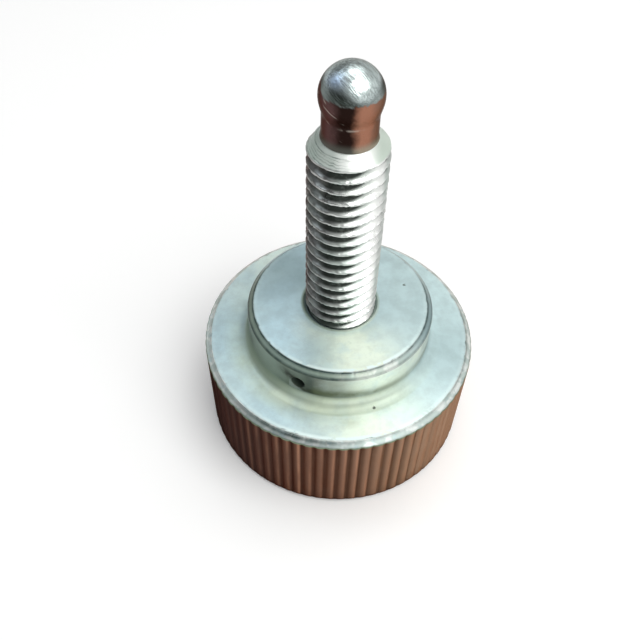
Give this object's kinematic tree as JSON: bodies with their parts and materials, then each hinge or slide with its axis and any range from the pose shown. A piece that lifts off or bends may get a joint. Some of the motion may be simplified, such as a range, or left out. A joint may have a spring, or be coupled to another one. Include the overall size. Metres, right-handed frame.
{
  "type": "thumb screw",
  "caption": "Thumb screw with a straight-knurled steel head and collar, and a pinned threaded stud that ends in a ball thrust point.",
  "frame": {"origin": "centre of the head's end face, on which the screw stands", "axes": "+Z along the screw's axis towards the ball, the pin hole opens towards -Y and a little towards -X"},
  "size_m": [0.024, 0.024, 0.037],
  "materials": {
    "head_zinc": "satin bright zinc plate, brown cast on the knurl",
    "stud_zinc": "bright zinc plate on the thread, polished ball",
    "pin_steel": "dull plain steel"
  },
  "bodies": {
    "root": {"knurled_head": "head_zinc", "thrust_stud": "stud_zinc", "cross_pin": "pin_steel"}
  },
  "joints": []
}
